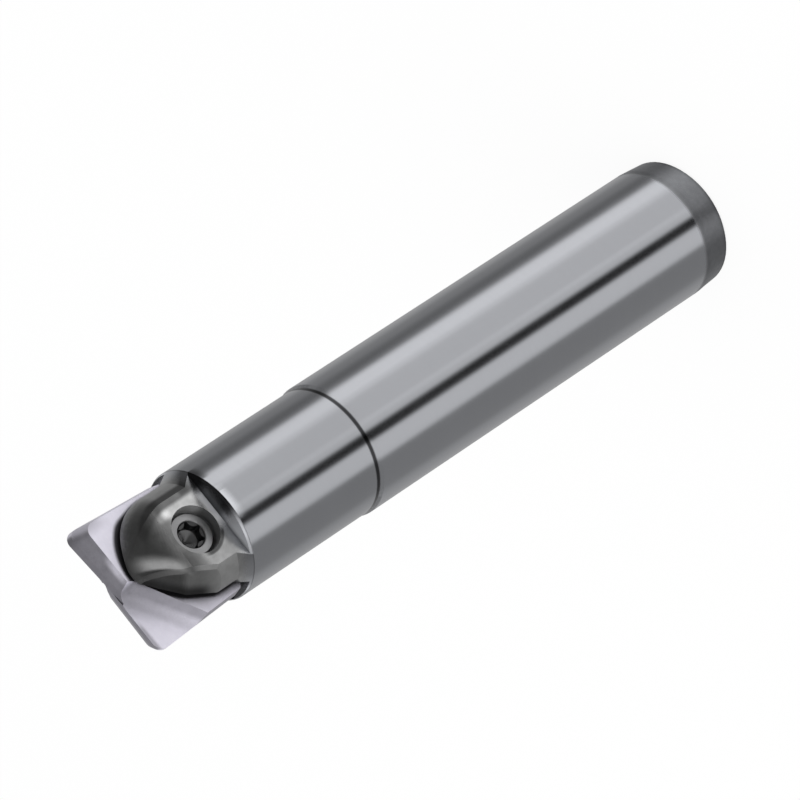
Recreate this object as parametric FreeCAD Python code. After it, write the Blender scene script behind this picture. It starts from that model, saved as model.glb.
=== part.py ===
import FreeCAD, Part
import math
import os

# Indexable corner radius end mill, standing on the end of its shank.
# +Z is the tool axis and points to the cutting end. The origin is the centre of
# the shank's rear end face. The head of the clamp screw faces -Y.
# The head is the same after half a turn about Z, apart from the screw and its seat.
# All lengths are in millimetres and all angles in degrees.

V = FreeCAD.Vector
AXIS = V(0, 0, 1)

# Shank and neck. The tool cuts the diameter of its shank.
SHANK_D = 20.0
OVERALL_LENGTH = 116.0
NECK_LENGTH = 24.8
NECK_RELIEF = 0.25
STEP_CONE_LENGTH = 0.5
REAR_CHAMFER = 0.45
REAR_TAPER_LENGTH = 4.2
REAR_TAPER_DEPTH = 0.3
CENTRE_PILOT_D = 2.5
CENTRE_PILOT_DEPTH = 6.0
CENTRE_CONE_D = 5.3
CENTRE_CONE_ANGLE = 60.0

# Head
HEAD_LENGTH = 17.2
HEAD_RELIEF = 1.25
HEAD_TAPER_LENGTH = 2.0
NOSE_SETBACK = 1.65
NOSE_CONE_SLOPE = 38.0
JAW_EDGE_CHAMFER = 0.75
SCREW_FLAT_CUT = 1.95
SCREW_FLAT_END = 0.4
JAW_FRONT_BEYOND_NOSE = 1.25
JAW_TIP_THICKNESS = 1.05
JAW_CREST_CHAMFER = 0.4

# Gullet that clears the rake face beside each jaw. Seen square to the insert, its
# outline runs outward and back from the jaw's tip on one slope, turns a round corner
# and goes on steeper.
GULLET_CORNER_INSET = 2.3
GULLET_TIP_X = 1.25
GULLET_FRONT_SLOPE = 45.5
GULLET_SIDE_SLOPE = 64.5
GULLET_CORNER_R = 3.0
GULLET_LEAN = 35.0

# Insert plate
CORNER_R = 1.5
INSERT_T = 5.4
INSERT_LENGTH = 16.8
INSERT_FOOT_CHAMFER = 1.8
BACK_TAPER = 3.0
DISH = 2.5
RAKE_ANGLE = 3.5
LAND_WIDTH = 1.0
LAND_RELIEF = 11.0
SIDE_RELIEF = 22.0
END_RELIEF = 29.0
GASH_START_X = 0.85
GASH_START_BACK = 0.6
GASH_SLOPE = 36.0
GASH_WALL_LEAN = 35.5
GASH_CORE_LEAN = 14.0
GASH_R = 2.5

# Clamp screw
SCREW_ABOVE_FOOT = 4.4
SCREW_THREAD_D = 5.0
SCREW_BODY_D = 5.2
SCREW_HEAD_D = 6.3
SCREW_HEAD_RIM = 1.0
SCREW_HEAD_SINK = 1.5
SCREW_SEAT_ANGLE = 60.0
SCREW_END_SETBACK = 0.7
SCREW_EDGE = 0.15
SOCKET_ACROSS = 3.95
SOCKET_WAIST = 2.85
SOCKET_LOBE_R = 0.305
SOCKET_DEPTH = 1.6
SOCKET_TURN = 43.0
SOCKET_LEAD_IN = 0.12

# Clearances
SLIT_CLEARANCE = 0.02
COUNTERBORE_CLEARANCE = 0.38
BODY_HOLE_CLEARANCE = 0.05
THREAD_CLEARANCE = 0.01
HOLE_MOUTH_CHAMFER = 0.3
OVERCUT = 2.0
CORE_OVERLAP = 2.0


def tan(angle):
    return math.tan(math.radians(angle))


def polar(radius, angle):
    return radius * math.cos(math.radians(angle)), radius * math.sin(math.radians(angle))


# Values that follow from the sizes above
SHANK_R = SHANK_D / 2
NECK_R = SHANK_R - NECK_RELIEF
HEAD_R = SHANK_R - HEAD_RELIEF
HALF_SLIT = INSERT_T / 2 + SLIT_CLEARANCE
NOSE_ARC_R, NOSE_ARC_RISE = polar(HEAD_R, 90 - NOSE_CONE_SLOPE)
NOSE_CONE_RISE = (NOSE_ARC_R - HALF_SLIT) * tan(NOSE_CONE_SLOPE)
CUT_R = SHANK_R
NECK_END_Z = OVERALL_LENGTH - HEAD_LENGTH
STEP_Z = NECK_END_Z - NECK_LENGTH
JAW_TIP_Z = OVERALL_LENGTH - NOSE_SETBACK
NOSE_Z = JAW_TIP_Z - NOSE_CONE_RISE - NOSE_ARC_RISE
JAW_FRONT_Z = NOSE_Z + JAW_FRONT_BEYOND_NOSE
INSERT_FOOT_Z = OVERALL_LENGTH - INSERT_LENGTH
SCREW_Z = INSERT_FOOT_Z + SCREW_ABOVE_FOOT
SCREW_FLAT_Y = SCREW_FLAT_CUT - HEAD_R
SCREW_HEAD_Y = SCREW_FLAT_Y + SCREW_HEAD_SINK
COUNTERBORE_R = SCREW_HEAD_D / 2 + COUNTERBORE_CLEARANCE
SCREW_END_Y = HEAD_R - SCREW_END_SETBACK


def turned(profile, origin, direction):
    """A solid turned from (radius, height) pairs about an axis through the origin."""
    points = [V(radius, 0, height) for radius, height in profile]
    face = Part.Face(Part.makePolygon(points + [points[0]]))
    solid = face.revolve(V(0, 0, 0), AXIS, 360)
    solid.Placement = FreeCAD.Placement(origin, FreeCAD.Rotation(AXIS, direction))
    return solid


def half_turn(solid):
    """The same solid, turned half way round the tool axis."""
    other = solid.copy()
    other.rotate(V(0, 0, 0), AXIS, 180)
    return other


def skinned(first, second):
    """A solid between two like outlines, flat wherever their edges are straight."""
    faces = [Part.Face(first), Part.Face(second)]
    for one, other in zip(first.OrderedEdges, second.OrderedEdges):
        if isinstance(one.Curve, Part.Line):
            near = [one.firstVertex(True).Point, one.lastVertex(True).Point]
            far = [other.lastVertex(True).Point, other.firstVertex(True).Point]
            points = near + far
            faces.append(Part.Face(Part.makePolygon(points + [points[0]])))
        else:
            faces.append(Part.makeRuledSurface(one, other))
    shell = Part.makeShell(faces)
    shell.sewShape()
    solid = Part.makeSolid(shell)
    if solid.Volume < 0:
        solid.reverse()
    return solid


def shank_and_head_blank():
    """The whole body as it comes off the lathe, with its round nose."""
    end_r = SHANK_R - REAR_TAPER_DEPTH
    side = [
        (0, 0),
        (end_r - REAR_CHAMFER, 0),
        (end_r, REAR_CHAMFER),
        (SHANK_R, REAR_TAPER_LENGTH),
        (SHANK_R, STEP_Z - STEP_CONE_LENGTH),
        (NECK_R, STEP_Z),
        (NECK_R, NECK_END_Z),
        (HEAD_R, NECK_END_Z + HEAD_TAPER_LENGTH),
        (HEAD_R, NOSE_Z),
    ]
    points = [V(radius, 0, height) for radius, height in side]
    middle_x, middle_z = polar(HEAD_R, (90 - NOSE_CONE_SLOPE) / 2)
    arc_end = V(NOSE_ARC_R, 0, NOSE_Z + NOSE_ARC_RISE)
    nose_end = V(0, 0, JAW_TIP_Z + HALF_SLIT * tan(NOSE_CONE_SLOPE))
    edges = [Part.makeLine(one, other) for one, other in zip(points, points[1:])]
    edges += [
        Part.Arc(points[-1], V(middle_x, 0, NOSE_Z + middle_z), arc_end).toShape(),
        Part.makeLine(arc_end, nose_end),
        Part.makeLine(nose_end, points[0]),
    ]
    return Part.Face(Part.Wire(edges)).revolve(V(0, 0, 0), AXIS, 360)


def centre_hole():
    """The lathe centre in the rear end face."""
    cone_depth = (CENTRE_CONE_D - CENTRE_PILOT_D) / 2 / tan(CENTRE_CONE_ANGLE / 2)
    profile = [
        (0, -OVERCUT),
        (CENTRE_CONE_D / 2, -OVERCUT),
        (CENTRE_CONE_D / 2, 0),
        (CENTRE_PILOT_D / 2, cone_depth),
        (CENTRE_PILOT_D / 2, CENTRE_PILOT_DEPTH),
        (0, CENTRE_PILOT_DEPTH + CENTRE_PILOT_D / 4),
    ]
    return turned(profile, V(0, 0, 0), AXIS)


def insert_slit():
    """The slit that splits the head into two jaws and holds the insert."""
    width = 2 * (SHANK_R + OVERCUT)
    height = INSERT_LENGTH + OVERCUT
    corner = V(-width / 2, -HALF_SLIT, INSERT_FOOT_Z)
    return Part.makeBox(width, 2 * HALF_SLIT, height, corner)


def gullet():
    """The chip space beside the front jaw, on the side of its rake face."""
    corner_x = GULLET_CORNER_INSET - HEAD_R
    corner_z = JAW_TIP_Z + (corner_x + GULLET_TIP_X) * tan(GULLET_FRONT_SLOPE)
    corner = V(corner_x, -HALF_SLIT, corner_z)
    half_bend = (GULLET_SIDE_SLOPE - GULLET_FRONT_SLOPE) / 2
    front_x, front_z = polar(1, GULLET_FRONT_SLOPE)
    side_x, side_z = polar(1, GULLET_SIDE_SLOPE)
    to_front = V(front_x, 0, front_z)
    to_side = V(-side_x, 0, -side_z)
    arc_start = corner + to_front * (GULLET_CORNER_R * tan(half_bend))
    arc_end = corner + to_side * (GULLET_CORNER_R * tan(half_bend))
    inward = (to_front + to_side).normalize()
    rise = GULLET_CORNER_R / math.cos(math.radians(half_bend)) - GULLET_CORNER_R
    arc_middle = corner + inward * rise
    reach = SHANK_R + OVERCUT
    front_end = corner + to_front * (2 * reach)
    side_end = corner + to_side * (2 * reach)
    outer_x = side_end.x - reach
    edges = [
        Part.makeLine(front_end, arc_start),
        Part.Arc(arc_start, arc_middle, arc_end).toShape(),
        Part.makeLine(arc_end, side_end),
        Part.makeLine(side_end, V(outer_x, corner.y, side_end.z)),
        Part.makeLine(V(outer_x, corner.y, side_end.z), V(outer_x, corner.y, front_end.z)),
        Part.makeLine(V(outer_x, corner.y, front_end.z), front_end),
    ]
    return Part.Face(Part.Wire(edges)).extrude(V(reach * tan(GULLET_LEAN), -reach, 0))


def screw_flat():
    """The flat across the front jaw that the screw goes in through."""
    width = 2 * (SHANK_R + OVERCUT)
    bottom = NECK_END_Z + SCREW_FLAT_END
    corner = V(-width / 2, -SHANK_R - OVERCUT, bottom)
    return Part.makeBox(width, SHANK_R + OVERCUT + SCREW_FLAT_Y, HEAD_LENGTH + OVERCUT, corner)


def jaw_front():
    """What is milled off the front jaw beyond the flat, on an arc that starts along it."""
    tip_y = -HALF_SLIT - JAW_TIP_THICKNESS
    tip_z = JAW_TIP_Z - JAW_TIP_THICKNESS * tan(NOSE_CONE_SLOPE)
    depth = tip_y - SCREW_FLAT_Y
    length = tip_z - JAW_FRONT_Z
    arc_r = (depth ** 2 + length ** 2) / (2 * depth)
    reach = SHANK_R + OVERCUT
    block = Part.makeBox(2 * reach, reach + tip_y, reach, V(-reach, -reach, JAW_FRONT_Z))
    axis_point = V(-reach, SCREW_FLAT_Y + arc_r, JAW_FRONT_Z)
    return block.cut(Part.makeCylinder(arc_r, 2 * reach, axis_point, V(1, 0, 0)))


def shared_edges(shape, first_cut, second_cut):
    """The edges where the surfaces that two cuts leave on a shape meet."""
    found = []
    for edge in shape.Edges:
        middle = Part.Vertex(edge.valueAt((edge.FirstParameter + edge.LastParameter) / 2))
        if max(middle.distToShape(cut)[0] for cut in (first_cut, second_cut)) < 1e-6:
            found.append(edge)
    return found


def seat_depths():
    """How far below the head's top its rim and its cone end."""
    cone = (SCREW_HEAD_D - SCREW_BODY_D) / 2 / tan(SCREW_SEAT_ANGLE / 2)
    return SCREW_HEAD_RIM, SCREW_HEAD_RIM + cone


def screw_hole():
    """Counterbore, seat, plain hole and tapped hole for the clamp screw."""
    rim, cone = seat_depths()
    plain_r = SCREW_BODY_D / 2 + BODY_HOLE_CLEARANCE
    thread_r = SCREW_THREAD_D / 2 + THREAD_CLEARANCE
    plain_depth = INSERT_T / 2 - SCREW_HEAD_Y
    back = HEAD_R - SCREW_HEAD_Y
    seat_start = rim - COUNTERBORE_CLEARANCE / tan(SCREW_SEAT_ANGLE / 2)
    profile = [
        (0, -SHANK_R),
        (COUNTERBORE_R, -SHANK_R),
        (COUNTERBORE_R, seat_start),
        (plain_r, cone - BODY_HOLE_CLEARANCE / tan(SCREW_SEAT_ANGLE / 2)),
        (plain_r, plain_depth),
        (thread_r, plain_depth),
        (thread_r, back - HOLE_MOUTH_CHAMFER),
        (thread_r + HOLE_MOUTH_CHAMFER + OVERCUT, back + OVERCUT),
        (0, back + OVERCUT),
    ]
    return turned(profile, V(0, SCREW_HEAD_Y, SCREW_Z), V(0, 1, 0))


def jaw_edges(shape):
    """The edges where the jaws' outer faces meet the slit's two walls."""
    taper_end_z = NECK_END_Z + HEAD_TAPER_LENGTH
    found = []
    for edge in shape.Edges:
        box = edge.BoundBox
        in_wall = box.YLength < 1e-6 and abs(abs(box.YMin) - HALF_SLIT) < 1e-6
        above_taper = box.ZMin > taper_end_z - 1e-6
        on_floor = box.ZMax < INSERT_FOOT_Z + 1e-6
        round_hole = max(abs(box.XMin), abs(box.XMax)) < SCREW_HEAD_D / 2 and box.ZMin < SCREW_Z
        if in_wall and above_taper and not on_floor and not round_hole:
            found.append(edge)
    return found


def tool_body():
    front = jaw_front()
    chip_space = gullet()
    body = shank_and_head_blank().cut(centre_hole())
    body = body.cut(screw_flat()).cut(front)
    body = body.cut(chip_space).cut(half_turn(chip_space))
    body = body.makeChamfer(JAW_CREST_CHAMFER, shared_edges(body, front, chip_space))
    body = body.cut(insert_slit())
    body = body.cut(screw_hole())
    return body.makeChamfer(JAW_EDGE_CHAMFER, jaw_edges(body))


def flank_outline(y, side_inset, end_inset, inner_x):
    """The outline of one tooth on a plane parallel to its rake face."""
    centre = V(side_inset + CORNER_R - CUT_R, y, OVERALL_LENGTH - end_inset - CORNER_R)
    start_x, start_z = polar(CORNER_R, 180 + BACK_TAPER)
    middle_x, middle_z = polar(CORNER_R, 135)
    end_x, end_z = polar(CORNER_R, 90 - DISH)
    arc_start = centre + V(start_x, 0, start_z)
    arc_end = centre + V(end_x, 0, end_z)
    foot = INSERT_FOOT_Z
    foot_x = arc_start.x + (arc_start.z - foot) * tan(BACK_TAPER)
    inner_z = arc_end.z - (inner_x - arc_end.x) * tan(DISH)
    points = [
        arc_end,
        V(inner_x, y, inner_z),
        V(inner_x, y, foot),
        V(foot_x + INSERT_FOOT_CHAMFER, y, foot),
        V(foot_x - INSERT_FOOT_CHAMFER * tan(BACK_TAPER), y, foot + INSERT_FOOT_CHAMFER),
        arc_start,
    ]
    edges = [Part.makeLine(one, other) for one, other in zip(points, points[1:])]
    edges.append(Part.Arc(arc_start, centre + V(middle_x, 0, middle_z), arc_end).toShape())
    return Part.Wire(edges)


def tooth():
    """The relieved form behind one cutting edge and the plate in front of it."""
    land_inset = LAND_WIDTH * tan(LAND_RELIEF)
    side_inset = land_inset + (INSERT_T - LAND_WIDTH) * tan(SIDE_RELIEF)
    end_inset = land_inset + (INSERT_T - LAND_WIDTH) * tan(END_RELIEF)
    rake = flank_outline(0, 0, 0, CORE_OVERLAP)
    land = flank_outline(LAND_WIDTH, land_inset, land_inset, CORE_OVERLAP)
    back = flank_outline(INSERT_T, side_inset, end_inset, CORE_OVERLAP)
    front = Part.Face(flank_outline(0, 0, 0, -CORE_OVERLAP)).extrude(V(0, -INSERT_T, 0))
    return front.fuse([skinned(rake, land), skinned(land, back)])


def gash():
    """The ground pocket that leaves the rake face in the front half."""
    reach = CUT_R + OVERCUT
    top = OVERALL_LENGTH + OVERCUT
    start_z = OVERALL_LENGTH - GASH_START_BACK

    def section(y):
        core_x = -y * tan(GASH_CORE_LEAN) - GASH_START_X
        wall_z = start_z + y * tan(GASH_WALL_LEAN)
        points = [
            V(core_x, y, wall_z + (core_x + GASH_START_X) * tan(GASH_SLOPE)),
            V(-reach, y, wall_z + (GASH_START_X - reach) * tan(GASH_SLOPE)),
            V(-reach, y, top + OVERCUT),
            V(core_x, y, top + OVERCUT),
        ]
        return Part.makePolygon(points + [points[0]])

    tool = skinned(section(0), section(-INSERT_T))
    corner_edges = []
    for edge in tool.Edges:
        box = edge.BoundBox
        on_rake = box.YLength < 1e-6 and abs(box.YMin) < 1e-6
        at_rim = box.XMax < 1 - reach
        at_top = box.ZMin > top
        along_core = box.YLength > OVERCUT and not at_rim and not at_top and box.ZMax < top
        if along_core or (on_rake and not at_rim and not at_top):
            corner_edges.append(edge)
    return tool.makeFillet(GASH_R, corner_edges)


def insert():
    form = tooth()
    plate = form.fuse(half_turn(form)).removeSplitter()
    plate = plate.cut(gash()).cut(half_turn(gash()))
    plate.rotate(V(0, 0, 0), AXIS, RAKE_ANGLE)
    reach = CUT_R + OVERCUT
    corner = V(-reach, -INSERT_T / 2, INSERT_FOOT_Z)
    plate = plate.common(Part.makeBox(2 * reach, INSERT_T, INSERT_LENGTH + OVERCUT, corner))
    hole_r = SCREW_BODY_D / 2 + BODY_HOLE_CLEARANCE
    start = V(0, -INSERT_T / 2 - OVERCUT, SCREW_Z)
    hole = Part.makeCylinder(hole_r, INSERT_T + 2 * OVERCUT, start, V(0, 1, 0))
    return plate.cut(hole).removeSplitter()


def socket_wire(depth, growth):
    """The six-lobed outline of the screw's socket, on a plane at a depth."""
    lobe_tip = SOCKET_ACROSS / 2 + growth
    waist = SOCKET_WAIST / 2 + growth
    lobe_r = SOCKET_LOBE_R
    lobe_at = lobe_tip - lobe_r
    half_pitch = math.cos(math.radians(30))
    above = lobe_r ** 2 - lobe_at ** 2 - waist ** 2 + 2 * lobe_at * waist * half_pitch
    waist_r = above / (2 * (waist - lobe_at * half_pitch - lobe_r))
    waist_at = waist + waist_r
    share = lobe_r / (lobe_r + waist_r)
    edges = []

    def at(radius, angle):
        x, z = polar(radius, angle + SOCKET_TURN)
        return V(x, SCREW_HEAD_Y + depth, SCREW_Z + z)

    def join(lobe_angle, waist_angle):
        lobe_centre = at(lobe_at, lobe_angle)
        return lobe_centre + (at(waist_at, waist_angle) - lobe_centre) * share

    for index in range(6):
        angle = 60 * index
        before = join(angle, angle - 30)
        after = join(angle, angle + 30)
        next_before = join(angle + 60, angle + 30)
        edges.append(Part.Arc(before, at(lobe_tip, angle), after).toShape())
        edges.append(Part.Arc(after, at(waist, angle + 30), next_before).toShape())
    return Part.Wire(edges)


def clamp_screw():
    rim, cone = seat_depths()
    head_r = SCREW_HEAD_D / 2
    body_r = SCREW_BODY_D / 2
    thread_r = SCREW_THREAD_D / 2
    plain_depth = INSERT_T / 2 - SCREW_HEAD_Y
    length = SCREW_END_Y - SCREW_HEAD_Y
    profile = [
        (0, 0),
        (head_r - SCREW_EDGE, 0),
        (head_r, SCREW_EDGE),
        (head_r, rim),
        (body_r, cone),
        (body_r, plain_depth - SCREW_EDGE),
        (thread_r, plain_depth),
        (thread_r, length - 2 * HOLE_MOUTH_CHAMFER),
        (thread_r - 2 * HOLE_MOUTH_CHAMFER, length),
        (0, length),
    ]
    screw = turned(profile, V(0, SCREW_HEAD_Y, SCREW_Z), V(0, 1, 0))
    socket = Part.Face(socket_wire(0, 0)).extrude(V(0, SOCKET_DEPTH, 0))
    point_r = SOCKET_WAIST / 2
    point = Part.makeCone(point_r, 0, point_r / 2, V(0, SCREW_HEAD_Y + SOCKET_DEPTH, SCREW_Z), V(0, 1, 0))
    lead_in_r = SOCKET_ACROSS / 2 + SOCKET_LEAD_IN
    lead_in = Part.makeCone(lead_in_r, lead_in_r - 2 * SOCKET_LEAD_IN, 2 * SOCKET_LEAD_IN,
                            V(0, SCREW_HEAD_Y, SCREW_Z), V(0, 1, 0))
    return screw.cut(socket.fuse(point)).cut(lead_in)


def write(name, shape):
    solids = shape.Solids
    if len(solids) != 1 or not shape.isValid():
        raise SystemExit(f"{name}: {len(solids)} solids, valid {shape.isValid()}")
    solids[0].exportStep(f"parts/{name}.step")
    print(name, round(solids[0].Volume, 1), "mm3")


os.makedirs("parts", exist_ok=True)
write("tool_body", tool_body())
write("insert", insert())
write("clamp_screw", clamp_screw())
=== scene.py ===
import bpy
import math
from mathutils import Matrix, Vector


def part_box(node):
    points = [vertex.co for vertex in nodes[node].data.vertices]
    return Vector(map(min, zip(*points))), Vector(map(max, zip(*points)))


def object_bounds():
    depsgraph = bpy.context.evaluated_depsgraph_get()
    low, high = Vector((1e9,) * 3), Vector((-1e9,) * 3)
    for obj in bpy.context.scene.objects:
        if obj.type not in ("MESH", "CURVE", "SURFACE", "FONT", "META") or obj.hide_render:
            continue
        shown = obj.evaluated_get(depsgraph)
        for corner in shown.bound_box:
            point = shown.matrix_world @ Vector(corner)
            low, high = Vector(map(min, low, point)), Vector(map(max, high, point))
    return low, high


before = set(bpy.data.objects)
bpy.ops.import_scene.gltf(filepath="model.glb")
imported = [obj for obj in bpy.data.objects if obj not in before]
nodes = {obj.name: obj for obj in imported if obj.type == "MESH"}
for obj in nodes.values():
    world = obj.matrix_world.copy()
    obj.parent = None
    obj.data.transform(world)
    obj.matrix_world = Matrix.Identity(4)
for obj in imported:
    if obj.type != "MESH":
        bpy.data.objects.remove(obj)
cad_low, cad_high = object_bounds()
scene = bpy.context.scene

MM = 0.001

# Camera: where it stands, how far it is rolled, and the point that it looks at.
# The photograph lays the standing tool down with its cutting end at the lower left.
CAMERA_AZIMUTH = -9.0
CAMERA_ELEVATION = 37.0
CAMERA_ROLL = -123.4
CAMERA_DISTANCE = 0.800
IMAGE_SIDE_PX = 800
SHANK_PX_PER_MM = 7.293
AIM_SHIFT_PX = (5.7, -0.55)
SENSOR_MM = 36.0

# Studio seen by shiny surfaces. Azimuths are in degrees from -Y towards +X.
# Each card is (azimuth, half width, soft edge, level) and hangs below the horizon.
# Where cards overlap the brightest shows.
FILL_LEVEL = 0.33
CARDS = [
    (59.0, 16.0, 15.0, 1.24),
    (48.0, 15.0, 22.0, 1.06),
    (-1.0, 9.0, 14.0, 0.97),
    (17.0, 34.0, 14.0, 0.87),
    (-47.0, 20.0, 14.0, 0.92),
]
REAR_CARD = (180.0, 68.0, 54.0, 0.46)
# Darker gaps in front of the cards: (azimuth, half width, soft edge, share that is left)
GAPS = [
    (-24.5, 8.0, 8.0, 0.04),
    (91.0, 9.0, 16.0, 0.62),
]
HORIZON_FADE = (-30.0, -9.0)
SKY_LEVEL = 0.10
ZENITH_LEVEL = 0.22
ZENITH_FADE = (62.0, 84.0)
# Pale walls that reach above the horizon: (azimuth, half width, soft edge, the
# elevations where the wall is gone and where it is whole, level)
WALLS = [
    (-92.0, 82.0, 12.0, 19.0, 4.0, 0.33),
    (-42.0, 28.0, 12.0, 31.0, 17.0, 0.33),
]
REAR_WALL = (180.0, 72.0, 36.0, 24.0, 6.0, 0.58)
# Beside the middle of the rear wall hang a white stripe and a dark gap, on both sides,
# with the same numbers as a card and a gap.
REAR_STRIPE = (136.0, 9.0, 14.0, 1.00)
REAR_GAP = (161.0, 3.0, 8.0, 0.15)
# Each small card is (azimuth, elevation, half width, soft edge, level).
SMALL_CARDS = [
    (-41.0, 27.0, 15.0, 16.0, 0.85),
    (-80.0, 47.0, 12.0, 16.0, 0.30),
]
DIFFUSE_LEVEL = 0.85

# The floor's side and how far it lies under the tool, in metres, its grey, and how
# much of it the camera sees as plain white
FLOOR_SIDE = 6.0
FLOOR_DROP = 0.00002
FLOOR_GREY = 0.90
FLOOR_WHITE_SHARE = 0.92
LAMP_AIM_HEIGHT = 0.06

# Lengths from here on are in millimetres.
# Heights on the body: its zones, the middle of the round nose, and the painted shade line
# at the neck's root as (height, half width, soft edge)
REAR_BAND_TOP = 5.2
NECK_BOTTOM = 74.0
HEAD_BOTTOM = 98.8
NOSE_Z = 105.4
NECK_SHADE_LINE = (NECK_BOTTOM + 0.36, 0.32, 0.30)
# The nose's radius, and where the front jaw's flat lies
HEAD_R = 8.75
FLAT_Y = -6.8

# The clamp screw's axis and head, the counterbore around it, and the radii between
# which its socket begins
screw_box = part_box("clamp_screw")
SCREW_Z = (screw_box[0].z + screw_box[1].z) / 2 / MM
SCREW_TOP_Y = screw_box[0].y / MM
HOLE_R = 3.53
SOCKET_R = (2.15, 1.98)

# The painted glint on the flat as (x, z), and its radius
GLINT = (3.85, 106.0)
GLINT_R = 1.1
# The painted highlight beside the gullet's crest: where it starts as (x, z), and how its
# x rises with z from there
CREST_START = (-2.40, 109.65)
CREST_SLOPE = 0.98
CREST_BEND = 0.058
# The jaw's shadow on the plate is a circle around the nose, whose radius grows between
# two heights.
SHADOW_Z = (107.4, 111.0)
SHADOW_R = (8.10, 8.72)
# The rake face is painted darker beside the jaw, as shade, and this clears along a leaning
# line: the lowest height that counts, the line's lean in z for each millimetre of x, and its
# two ends
JAW_SHADE_LOWEST_Z = 107.0
JAW_SHADE_LEAN = -1.402
JAW_SHADE_ENDS = (115.5, 124.0)

# The pitch of the turning rings, the milling marks and the rings on the screw, and how
# far the milling marks and the shade in the screw's hole lean
TURNING_PITCH = 0.16
MILLING_PITCH = 0.42
SCREW_RING_PITCH = 0.14
MILLING_LEAN = 0.35
HOLE_SHADE_LEAN = -0.35

# Colours where the level is 1
SHANK_TINT = (0.446, 0.455, 0.480, 1)
HEAD_TINT = (0.480, 0.482, 0.482, 1)
CARBIDE_TINT = (0.890, 0.866, 0.972, 1)
SCREW_TINT = (0.38, 0.38, 0.385, 1)


class Tree:
    """Builds shader nodes with few words: each call makes nodes and gives one output."""

    def __init__(self, owner):
        owner.use_nodes = True
        self.tree = owner.node_tree
        self.tree.nodes.clear()

    def node(self, kind, **settings):
        made = self.tree.nodes.new(kind)
        for name, value in settings.items():
            setattr(made, name, value)
        return made

    def put(self, value, socket):
        if isinstance(value, bpy.types.NodeSocket):
            self.tree.links.new(value, socket)
        else:
            socket.default_value = value

    def math(self, operation, *values):
        made = self.node("ShaderNodeMath", operation=operation)
        for index, value in enumerate(values):
            self.put(value, made.inputs[index])
        return made.outputs[0]

    def add(self, one, other):
        return self.math("ADD", one, other)

    def times(self, one, other):
        return self.math("MULTIPLY", one, other)

    def most(self, one, other):
        return self.math("MAXIMUM", one, other)

    def rest(self, share):
        """What is left of 1."""
        return self.math("SUBTRACT", 1.0, share)

    def length(self, *parts):
        """Length of the vector with these parts."""
        total = 0.0
        for part in parts:
            total = self.add(total, self.times(part, part))
        return self.math("SQRT", total)

    def wave(self, value, pitch):
        return self.math("SINE", self.times(value, 2 * math.pi / pitch))

    def ramp(self, value, start, end, low=0.0, high=1.0):
        """Goes smoothly from low at start to high at end."""
        made = self.node("ShaderNodeMapRange", interpolation_type="SMOOTHSTEP")
        names = ("Value", "From Min", "From Max", "To Min", "To Max")
        for name, item in zip(names, (value, start, end, low, high)):
            self.put(item, made.inputs[name])
        return made.outputs[0]

    def band(self, value, middle, half, soft):
        """1 inside a band, 0 outside it, with a soft edge."""
        away = self.math("ABSOLUTE", self.math("SUBTRACT", value, middle))
        return self.ramp(away, half - soft / 2, half + soft / 2, 1.0, 0.0)

    def mix(self, share, one, other):
        """Numbers: one where the share is 0, other where it is 1."""
        made = self.node("ShaderNodeMix", data_type="FLOAT")
        self.put(share, made.inputs[0])
        self.put(one, made.inputs[2])
        self.put(other, made.inputs[3])
        return made.outputs[0]

    def mix_direction(self, share, one, other):
        made = self.node("ShaderNodeMix", data_type="VECTOR")
        self.put(share, made.inputs[0])
        self.put(one, made.inputs[4])
        self.put(other, made.inputs[5])
        return made.outputs[1]

    def mix_colour(self, share, one, other, blend="MIX"):
        made = self.node("ShaderNodeMix", data_type="RGBA", blend_type=blend)
        self.put(share, made.inputs[0])
        self.put(one, made.inputs[6])
        self.put(other, made.inputs[7])
        return made.outputs[2]

    def weigh(self, level, *weights):
        """Multiplies the level by each weight's factor where the weight's share is 1."""
        for share, factor in weights:
            level = self.times(level, self.mix(share, 1.0, factor))
        return level

    def vary(self, level, pattern, amount):
        """Adds a pattern that runs from 0 to 1, moved to lie around 0."""
        return self.add(level, self.times(self.add(pattern, -0.5), amount))

    def grey(self, value):
        made = self.node("ShaderNodeCombineColor")
        for socket in made.inputs:
            self.put(value, socket)
        return made.outputs[0]

    def split(self, vector):
        made = self.node("ShaderNodeSeparateXYZ")
        self.put(vector, made.inputs[0])
        return made.outputs

    def scaled(self, vector, x, y, z):
        made = self.node("ShaderNodeVectorMath", operation="MULTIPLY")
        self.put(vector, made.inputs[0])
        made.inputs[1].default_value = (x, y, z)
        return made.outputs[0]

    def noise(self, vector, scale, detail=2.0, rough=0.5):
        made = self.node("ShaderNodeTexNoise")
        self.put(vector, made.inputs["Vector"])
        made.inputs["Scale"].default_value = scale
        made.inputs["Detail"].default_value = detail
        made.inputs["Roughness"].default_value = rough
        return made.outputs[0]

    def bump(self, height, strength, distance_mm, normal=None):
        made = self.node("ShaderNodeBump")
        self.put(height, made.inputs["Height"])
        self.put(strength, made.inputs["Strength"])
        made.inputs["Distance"].default_value = distance_mm * MM
        if normal is not None:
            self.put(normal, made.inputs["Normal"])
        return made.outputs[0]


def place_mm(t):
    """Where a point of the object is, in millimetres."""
    coordinates = t.node("ShaderNodeTexCoord")
    return t.scaled(coordinates.outputs["Object"], 1 / MM, 1 / MM, 1 / MM)


def surface_normal(t):
    return t.split(t.node("ShaderNodeNewGeometry").outputs["True Normal"])


def crevice(t, distance_mm):
    """1 on open surfaces, less in holes and slits."""
    made = t.node("ShaderNodeAmbientOcclusion", samples=8)
    made.inputs["Distance"].default_value = distance_mm * MM
    return made.outputs["AO"]


def around(t, x, y):
    """Angle about the tool axis in degrees, from -Y towards +X."""
    angle = t.math("ARCTAN2", x, t.times(y, -1.0))
    return t.times(angle, 180 / math.pi)


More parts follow.
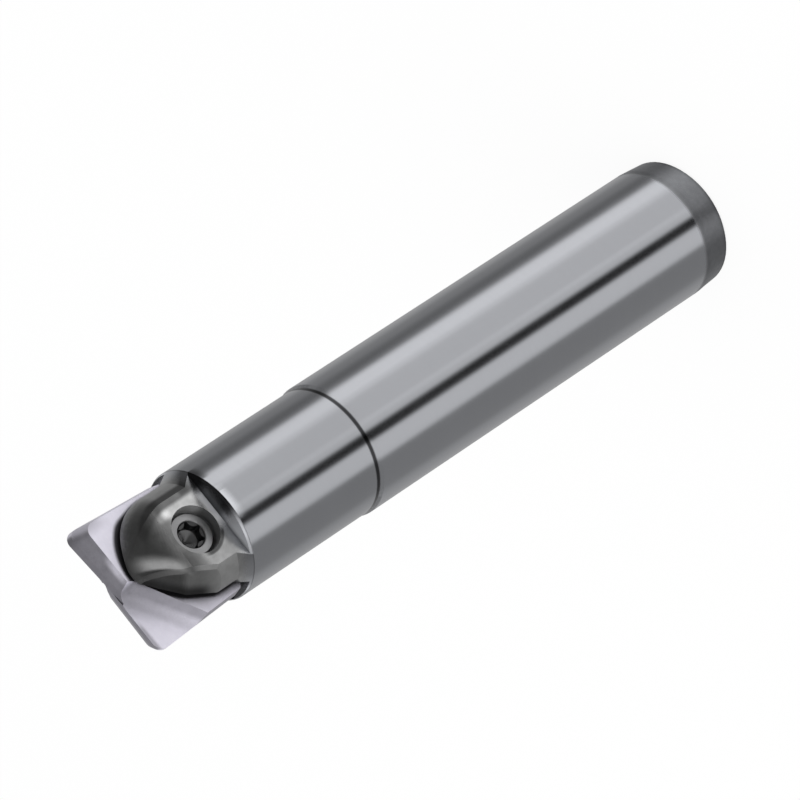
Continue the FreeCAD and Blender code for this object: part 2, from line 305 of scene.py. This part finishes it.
def finish_material(t, **values):
    shader = t.node("ShaderNodeBsdfPrincipled")
    for name, value in values.items():
        t.put(value, shader.inputs[name.replace("_", " ")])
    output = t.node("ShaderNodeOutputMaterial")
    t.tree.links.new(shader.outputs[0], output.inputs["Surface"])


def paint_body(t):
    """Ground shank and neck, roughly turned rear band, milled head."""
    p = place_mm(t)
    x, y, z = t.split(p)
    nx, ny, nz = surface_normal(t)

    rear_band = t.ramp(z, REAR_BAND_TOP + 0.45, REAR_BAND_TOP - 0.45)
    neck = t.ramp(z, NECK_BOTTOM - 0.3, NECK_BOTTOM + 0.05)
    head = t.ramp(z, HEAD_BOTTOM + 0.2, HEAD_BOTTOM + 2.1)
    on_cone = t.ramp(nz, 0.1, 0.3)
    on_flat = t.times(t.ramp(ny, -0.985, -0.998), t.ramp(y, FLAT_Y + 0.2, FLAT_Y + 0.05))
    on_flat = t.times(on_flat, t.ramp(z, HEAD_BOTTOM + 0.2, HEAD_BOTTOM + 0.5))
    milled = t.times(head, t.rest(on_flat))
    from_screw = t.length(x, t.add(z, -SCREW_Z))
    in_hole = t.ramp(from_screw, HOLE_R + 0.12, HOLE_R - 0.02)
    in_hole = t.times(in_hole, t.ramp(y, FLAT_Y, FLAT_Y + 0.1))
    in_hole = t.times(in_hole, t.ramp(y, 0.0, -0.1))

    clouds = t.noise(p, 0.16, 3.0, 0.55)
    grain = t.noise(p, 5.0, 4.0, 0.6)
    rings = t.noise(t.scaled(p, 0.03, 0.03, 1.6), 1.0, 6.0, 0.75)
    streaks = t.noise(t.scaled(p, 2.2, 2.2, 0.05), 1.0, 5.0, 0.7)
    mottle = t.noise(p, 1.1, 3.0, 0.65)
    patches = t.noise(p, 0.42, 2.0, 0.5)
    turning = t.wave(z, TURNING_PITCH)

    level = t.add(0.985, t.times(clouds, 0.06))
    level = t.vary(level, rings, 0.05)
    level = t.vary(level, grain, t.mix(milled, 0.03, 0.12))
    level = t.vary(level, mottle, t.times(head, 0.35))
    # The rear band: turning marks and mottle, with painted shade darker towards -x and at the
    # very end.
    turned = t.add(t.ramp(x, -3.0, 4.5, 0.56, 0.78), t.times(turning, 0.03))
    turned = t.times(turned, t.vary(1.0, mottle, 0.35))
    turned = t.times(turned, t.ramp(z, 0.0, 1.3, 0.62, 1.0))
    crest_highlight = painted_crest_highlight(t, x, y, z, ny)
    front_shade = t.times(painted_front_shade(t, z, nx, ny), t.rest(crest_highlight))
    lit_notch_root, lit_notch_step, shaded_notch_step, shaded_notch_end = notch_light_and_shade(t, x, y, z, ny, nz)
    # Painted light and shade in the screw's hole: lighter on one side, shaded on the other.
    shade_line = t.add(z, t.times(x, HOLE_SHADE_LEAN))
    shaded_side = t.ramp(shade_line, SCREW_Z + 0.8, SCREW_Z - 1.6)
    # Painted shade on the cone's top, except at the middle of its front.
    cone_rim_shade = t.times(on_cone, t.band(z, HEAD_BOTTOM - 0.40, 0.50, 0.20))
    cone_rim_shade = t.times(cone_rim_shade, t.ramp(t.math("ABSOLUTE", t.add(x, 0.9)), 0.3, 1.5))
    level = t.weigh(
        level,
        (rear_band, turned),
        (neck, 0.97),
        (t.band(z, *NECK_SHADE_LINE), 0.12),
        (on_flat, flat_painted_light(t, x, z, patches, from_screw)),
        (front_shade, 0.55),
        (crest_highlight, 1.15),
        (t.times(head, edge_shade(t, x, y, z)), 0.30),
        (head, gullet_shade(t, y, z, nx)),
        (shaded_notch_step, 0.25),
        (lit_notch_root, 1.55),
        (lit_notch_step, t.ramp(x, -1.0, -3.5, 1.0, 1.6)),
        (shaded_notch_end, 0.40),
        (in_hole, t.mix(shaded_side, 1.9, 0.85)),
        (cone_rim_shade, 0.45),
    )
    # Painted shade in corners, holes and slits, from how open each point is; the flat and the
    # hole are spared.
    corner_shade = t.ramp(crevice(t, 1.2), 0.30, 0.90, 0.15, 1.0)
    level = t.times(level, t.mix(t.most(on_flat, in_hole), corner_shade, 1.0))
    tint = t.mix_colour(head, SHANK_TINT, HEAD_TINT)

    rough = t.add(0.165, t.times(clouds, 0.05))
    rough = t.vary(rough, streaks, 0.05)
    rough = t.mix(rear_band, rough, 0.42)
    rough = t.mix(milled, rough, t.add(0.30, t.times(mottle, 0.10)))
    rough = t.mix(on_flat, rough, 0.26)
    rough = t.mix(in_hole, rough, 0.60)

    milling = t.wave(t.add(z, t.times(x, MILLING_LEAN)), MILLING_PITCH)
    milling = t.add(t.times(milling, 0.08), mottle)
    normal = t.bump(rings, 0.10, 0.02)
    normal = t.bump(turning, t.times(rear_band, 0.35), 0.02, normal)
    normal = t.bump(milling, t.times(milled, 0.22), 0.05, normal)
    normal = t.bump(grain, t.mix(head, 0.02, 0.10), 0.02, normal)
    # The cone below the head shines like the shank, as if it faced straight outwards.
    outwards = t.node("ShaderNodeVectorMath", operation="NORMALIZE")
    t.put(t.scaled(p, 1, 1, 0), outwards.inputs[0])
    rounded = t.times(on_cone, t.ramp(z, HEAD_BOTTOM + 0.1, HEAD_BOTTOM - 0.1))
    normal = t.mix_direction(rounded, normal, outwards.outputs[0])

    dull = t.most(crest_highlight, t.times(in_hole, t.ramp(x, 1.6, 2.6)))
    metallic = t.weigh(1.0, (dull, 0.60), (lit_notch_root, 0.38), (lit_notch_step, 0.70))
    tangent = t.node("ShaderNodeTangent", direction_type="RADIAL", axis="Z")
    finish_material(
        t,
        Base_Color=t.mix_colour(1.0, tint, t.grey(level), "MULTIPLY"),
        Metallic=metallic,
        Roughness=rough,
        Anisotropic=t.mix(head, 0.75, 0.15),
        Anisotropic_Rotation=0.25,
        Tangent=tangent.outputs[0],
        Normal=normal,
    )


def flat_painted_light(t, x, z, patches, from_screw):
    """How bright the screw's flat is painted, as light and shade: lighter on the left, darker
    on the right and towards the tip, with a painted glint and painted shade beside the hole.
    """
    level = t.vary(1.40, patches, 1.0)
    level = t.times(level, t.ramp(x, -0.6, -2.0, 1.0, 0.66))
    tip_side_shade = t.times(t.ramp(z, SCREW_Z + 0.9, SCREW_Z + 2.2), t.ramp(x, 3.5, 2.7))
    off_glint = t.length(t.add(x, -GLINT[0]), t.add(z, -GLINT[1]))
    level = t.times(level, t.ramp(off_glint, GLINT_R, 0.0, 1.0, 1.7))
    # Painted shade beside the hole, on the gullet side.
    hole_side_shade = t.times(t.ramp(from_screw, HOLE_R + 0.65, HOLE_R + 0.35), t.ramp(x, -1.4, -2.2))
    hole_side_shade = t.times(hole_side_shade, t.ramp(z, SCREW_Z + 1.6, SCREW_Z + 0.4))
    return t.weigh(level, (tip_side_shade, 0.62), (hole_side_shade, 0.28))


def notch_light_and_shade(t, x, y, z, ny, nz):
    """Shares of the notch's painted light and shade: its lit root, its lit and shaded halves
    and its shaded left end.
    """
    notch = t.times(t.ramp(z, 102.5, 101.8), t.ramp(z, HEAD_BOTTOM - 1.6, HEAD_BOTTOM - 0.1))
    notch = t.times(notch, t.ramp(y, FLAT_Y + 0.1, FLAT_Y - 0.05))
    root = t.times(t.ramp(ny, -0.95, -0.99), t.ramp(z, HEAD_BOTTOM + 2.0, HEAD_BOTTOM + 1.1))
    along_root = t.times(t.ramp(x, 4.9, 3.2), t.ramp(x, -2.6, 0.0, 0.25, 1.0))
    root = t.times(t.times(notch, root), along_root)
    step = t.times(notch, t.ramp(nz, 0.1, 0.3))
    pale = t.times(step, t.ramp(x, -0.4, -2.0))
    dark = t.times(step, t.ramp(x, -1.5, 0.3))
    end = t.times(t.times(notch, t.ramp(x, 4.6, 5.1)), t.ramp(nz, 0.9, 0.8))
    return root, pale, dark, end


def gullet_shade(t, y, z, nx):
    """Painted shade: darker towards the tip of the gullet's wall, and nearly black beside the
    plate.
    """
    wall = t.ramp(nx, -0.35, -0.8)
    shade_beside_plate = t.times(t.ramp(y, -5.0, -3.7), t.ramp(z, 104.6, 107.0))
    level = t.weigh(t.ramp(z, 103.4, 107.2, 1.0, 0.60), (shade_beside_plate, 0.20))
    facing_half = t.times(t.ramp(nx, -0.15, -0.3), t.ramp(z, 106.3, 108.0))
    return t.mix(wall, t.mix(facing_half, 1.0, 0.45), level)


def painted_crest_highlight(t, x, y, z, ny):
    """1 along a painted highlight on the jaw's front, beside the gullet's crest."""
    past = t.add(z, -CREST_START[1])
    slope = t.math("SUBTRACT", CREST_SLOPE, t.times(past, CREST_BEND))
    middle = t.add(CREST_START[0], t.times(past, slope))
    off = t.math("SUBTRACT", x, middle)
    band = t.times(t.ramp(off, 2.3, 0.1), t.ramp(off, -0.9, -0.35))
    band = t.times(band, t.times(t.ramp(z, 107.6, 109.4), t.ramp(z, 114.0, 111.6)))
    return t.times(band, t.times(t.ramp(ny, -0.3, -0.5), t.ramp(y, -3.4, -3.7)))


def painted_front_shade(t, z, nx, ny):
    """1 on the front of the jaw beyond the screw, where it is painted darker as shade."""
    facing_front = t.times(t.ramp(nx, -0.25, -0.12), t.ramp(ny, -0.3, -0.6))
    return t.times(facing_front, t.ramp(z, SCREW_Z + 1.3, SCREW_Z + 3.3))


def edge_shade(t, x, y, z):
    """1 along the edge of the screw's flat, on the side away from the gullet, where it is
    painted darker as shade.
    """
    from_middle = t.length(x, y, t.most(t.add(z, -NOSE_Z), 0.0))
    near_outside = t.ramp(from_middle, HEAD_R - 0.80, HEAD_R - 0.40)
    near_flat = t.ramp(y, FLAT_Y + 1.2, FLAT_Y + 0.6)
    edge = t.times(t.times(near_outside, near_flat), t.ramp(x, 0.0, 1.0))
    return t.times(edge, t.ramp(z, 106.2, 108.2, 1.0, 0.55))


def paint_insert(t):
    """Ground carbide with a pale violet-grey coat; its rough relieved flanks are painted
    darker, as shade.
    """
    p = place_mm(t)
    x, y, z = t.split(p)
    nx, ny, nz = surface_normal(t)
    facing_up = t.ramp(nz, 0.55, 0.85)

    clouds = t.noise(p, 0.35, 3.0, 0.6)
    grain = t.noise(p, 7.0, 3.0, 0.6)
    blotches = t.noise(p, 0.8, 3.0, 0.6)
    grinding = t.noise(t.scaled(p, 0.5, 0.5, 9.0), 1.0, 4.0, 0.7)

    level = t.add(0.96, t.times(clouds, 0.10))
    level = t.vary(level, grinding, 0.10)
    level = t.vary(level, grain, t.mix(facing_up, 0.05, 0.30))
    level = t.vary(level, blotches, t.mix(facing_up, 0.15, 0.45))
    # Painted shade on the rake face beside the jaw, clearing along a leaning line.
    from_jaw = t.add(t.most(z, JAW_SHADE_LOWEST_Z), t.times(x, JAW_SHADE_LEAN))
    jaw_shade = t.mix(t.ramp(x, 0.0, -0.8), 1.0, t.ramp(from_jaw, *JAW_SHADE_ENDS, 0.44, 1.0))
    used_corner = t.times(t.ramp(x, 7.0, 9.2), t.ramp(z, 110.5, 113.5))
    side_flank = t.times(t.ramp(nx, -0.5, -0.8), t.ramp(z, 109.5, 107.5))
    land = t.times(t.times(facing_up, t.ramp(y, -1.7, -2.4)), t.band(x, 1.9, 1.7, 2.2))
    end_edge = t.times(t.ramp(z, 115.1, 115.7), t.ramp(x, -4.5, -6.5))
    end_edge = t.times(end_edge, t.rest(facing_up))
    # Painted shade on the flanks that face up and aside; the land is painted lighter again.
    level = t.weigh(
        level,
        (facing_up, 0.36),
        (t.rest(facing_up), jaw_shade),
        (used_corner, 0.66),
        (side_flank, 0.50),
        (land, 2.4),
        (end_edge, 0.55),
    )
    # Painted shade: the plate is darker in corners, and on the +x side also in a painted
    # shadow of the jaw.
    open_share = crevice(t, 2.2)
    from_nose = t.length(x, t.add(z, -NOSE_Z))
    past_shadow = t.math("SUBTRACT", from_nose, t.ramp(z, *SHADOW_Z, *SHADOW_R))
    left_level = t.times(
        t.ramp(past_shadow, -0.32, 0.32, 0.05, 1.0),
        t.ramp(open_share, 0.45, 0.78, 0.30, 1.0),
    )
    right_level = t.ramp(open_share, 0.66, 0.90, 0.04, 1.0)
    level = t.times(level, t.mix(t.ramp(x, -0.4, 0.2), right_level, left_level))

    normal = t.bump(grinding, 0.10, 0.02)
    normal = t.bump(grain, t.mix(facing_up, 0.03, 0.15), 0.02, normal)
    finish_material(
        t,
        Base_Color=t.mix_colour(1.0, CARBIDE_TINT, t.grey(level), "MULTIPLY"),
        Metallic=0.62,
        Roughness=t.add(0.40, t.times(clouds, 0.08)),
        Normal=normal,
    )


def paint_screw(t):
    """Dull turned steel with fine rings on the head, painted lighter towards the shank, and
    painted shade in the socket and its crevices.
    """
    p = place_mm(t)
    x, y, z = t.split(p)
    nx, ny, nz = surface_normal(t)
    from_axis = t.length(x, t.add(z, -SCREW_Z))
    rings = t.wave(from_axis, SCREW_RING_PITCH)
    mottle = t.noise(p, 1.6, 3.0, 0.65)
    grain = t.noise(p, 8.0, 3.0, 0.6)

    in_socket = t.ramp(y, SCREW_TOP_Y + 0.02, SCREW_TOP_Y + 0.14)
    in_socket = t.times(t.ramp(from_axis, *SOCKET_R), in_socket)
    wall = t.times(in_socket, t.ramp(ny, -0.93, -0.75))
    mouth = t.times(in_socket, t.ramp(y, SCREW_TOP_Y + 0.9, SCREW_TOP_Y + 0.5))
    level = t.add(0.88, t.times(mottle, 0.24))
    level = t.add(level, t.times(rings, 0.02))
    # Painted light: the head is lighter towards the shank.
    level = t.times(level, t.ramp(z, SCREW_Z - 2.6, SCREW_Z + 2.2, 1.50, 0.95))
    # Painted shade in the socket and in crevices.
    level = t.weigh(level, (in_socket, 0.80), (t.most(wall, mouth), 0.30))
    level = t.times(level, t.ramp(crevice(t, 1.3), 0.2, 0.85, 0.45, 1.0))

    normal = t.bump(rings, 0.10, 0.01)
    normal = t.bump(grain, 0.12, 0.02, normal)
    finish_material(
        t,
        Base_Color=t.mix_colour(1.0, SCREW_TINT, t.grey(level), "MULTIPLY"),
        Metallic=1.0,
        Roughness=t.add(0.30, t.times(mottle, 0.12)),
        Normal=normal,
    )


def pointing(azimuth, elevation):
    """A direction of length 1 from its azimuth and elevation."""
    azimuth, elevation = math.radians(azimuth), math.radians(elevation)
    level = math.cos(elevation)
    return Vector((math.sin(azimuth) * level, -math.cos(azimuth) * level, math.sin(elevation)))


def hang_card(t, level, angle, card):
    """Adds a card to a level: a band of the angle that is at least as bright as the card."""
    *band, card_level = card
    return t.most(level, t.times(t.band(angle, *band), card_level))


def low_studio(t, azimuth, behind):
    """Cards and gaps below the horizon."""
    level = FILL_LEVEL
    for card in CARDS:
        level = hang_card(t, level, azimuth, card)
    level = hang_card(t, level, behind, REAR_CARD)
    for *band, left in GAPS:
        level = t.weigh(level, (t.band(azimuth, *band), left))
    return level


def high_studio(t, azimuth, behind, elevation, direction):
    """The sky, the walls that rise above the horizon, and the small cards in it."""
    sky = t.ramp(elevation, *ZENITH_FADE, SKY_LEVEL, ZENITH_LEVEL)
    walls = [(azimuth, wall) for wall in WALLS] + [(behind, REAR_WALL)]
    for angle, (middle, half, soft, gone, whole, wall_level) in walls:
        wall = t.times(t.band(angle, middle, half, soft), t.ramp(elevation, gone, whole))
        sky = t.most(sky, t.times(wall, wall_level))
    low_rear = t.ramp(elevation, *REAR_WALL[3:5])
    stripe = t.times(t.band(behind, *REAR_STRIPE[:3]), low_rear)
    sky = t.most(sky, t.times(stripe, REAR_STRIPE[3]))
    gap = t.times(t.band(behind, *REAR_GAP[:3]), low_rear)
    sky = t.weigh(sky, (gap, REAR_GAP[3]))
    for card_azimuth, card_elevation, half, soft, card_level in SMALL_CARDS:
        aim = t.node("ShaderNodeVectorMath", operation="DOT_PRODUCT")
        t.put(direction, aim.inputs[0])
        aim.inputs[1].default_value = pointing(card_azimuth, card_elevation)
        off_aim = t.times(t.math("ARCCOSINE", aim.outputs["Value"]), 180 / math.pi)
        sky = hang_card(t, sky, off_aim, (0.0, half, soft, card_level))
    return sky


def studio():
    """White behind the object, plain light on it, and soft cards for its reflections."""
    world = bpy.data.worlds.new("studio")
    scene.world = world
    t = Tree(world)
    direction = t.node("ShaderNodeTexCoord").outputs["Generated"]
    x, y, z = t.split(direction)
    azimuth = around(t, x, y)
    behind = t.math("ABSOLUTE", azimuth)
    elevation = t.times(t.math("ARCSINE", z), 180 / math.pi)
    level = t.mix(
        t.ramp(elevation, *HORIZON_FADE),
        low_studio(t, azimuth, behind),
        high_studio(t, azimuth, behind, elevation, direction),
    )
    path = t.node("ShaderNodeLightPath")
    level = t.mix(path.outputs["Is Glossy Ray"], DIFFUSE_LEVEL, level)
    level = t.mix(path.outputs["Is Camera Ray"], level, 1.0)
    background = t.node("ShaderNodeBackground")
    t.put(t.grey(level), background.inputs["Color"])
    output = t.node("ShaderNodeOutputWorld")
    t.tree.links.new(background.outputs[0], output.inputs["Surface"])


def floor():
    """A plain white floor that keeps the object's shadow."""
    bpy.ops.mesh.primitive_plane_add(size=FLOOR_SIDE, location=(0, 0, -FLOOR_DROP))
    made = bpy.context.object
    made.name = "floor"
    material = bpy.data.materials.new("floor_white")
    t = Tree(material)
    path = t.node("ShaderNodeLightPath")
    diffuse = t.node("ShaderNodeBsdfDiffuse")
    diffuse.inputs["Color"].default_value = (FLOOR_GREY, FLOOR_GREY, FLOOR_GREY, 1)
    white = t.node("ShaderNodeEmission")
    white.inputs["Strength"].default_value = 1.0
    mix = t.node("ShaderNodeMixShader")
    t.put(t.times(path.outputs["Is Camera Ray"], FLOOR_WHITE_SHARE), mix.inputs[0])
    t.tree.links.new(diffuse.outputs[0], mix.inputs[1])
    t.tree.links.new(white.outputs[0], mix.inputs[2])
    output = t.node("ShaderNodeOutputMaterial")
    t.tree.links.new(mix.outputs[0], output.inputs["Surface"])
    made.data.materials.append(material)
    made.visible_glossy = False


def soft_lamp(name, azimuth, elevation, distance, size, power):
    data = bpy.data.lights.new(name, "AREA")
    data.shape = "DISK"
    data.size = size
    data.energy = power
    lamp = bpy.data.objects.new(name, data)
    back = pointing(azimuth, elevation)
    lamp.location = Vector((0, 0, LAMP_AIM_HEIGHT)) + back * distance
    lamp.rotation_mode = "QUATERNION"
    lamp.rotation_quaternion = back.to_track_quat("Z", "Y")
    lamp.visible_glossy = False
    scene.collection.objects.link(lamp)


def camera():
    roll = math.radians(CAMERA_ROLL)
    back = pointing(CAMERA_AZIMUTH, CAMERA_ELEVATION)
    upright = back.to_track_quat("Z", "Y").to_matrix()
    right = upright @ Vector((math.cos(roll), math.sin(roll), 0))
    up = upright @ Vector((-math.sin(roll), math.cos(roll), 0))
    data = bpy.data.cameras.new("camera")
    data.sensor_width = SENSOR_MM
    data.lens = SHANK_PX_PER_MM * CAMERA_DISTANCE / MM / IMAGE_SIDE_PX * SENSOR_MM
    data.clip_start = 0.05
    data.clip_end = 20.0
    made = bpy.data.objects.new("camera", data)
    scene.collection.objects.link(made)
    metres_per_px = MM / SHANK_PX_PER_MM
    middle = Vector((0, 0, (cad_low.z + cad_high.z) / 2))
    aim = middle - (right * AIM_SHIFT_PX[0] + up * AIM_SHIFT_PX[1]) * metres_per_px
    axes = Matrix((right, up, back)).transposed().to_4x4()
    made.matrix_world = Matrix.Translation(aim + back * CAMERA_DISTANCE) @ axes
    scene.camera = made


for name, slot, paint in (
    ("tool_body", "body_steel", paint_body),
    ("insert", "carbide", paint_insert),
    ("clamp_screw", "screw_steel", paint_screw),
):
    paint(Tree(nodes[name].data.materials[0]))

studio()
floor()
soft_lamp("key", azimuth=-40.0, elevation=62.0, distance=0.9, size=0.7, power=3.0)
camera()
scene.view_settings.view_transform = "Standard"
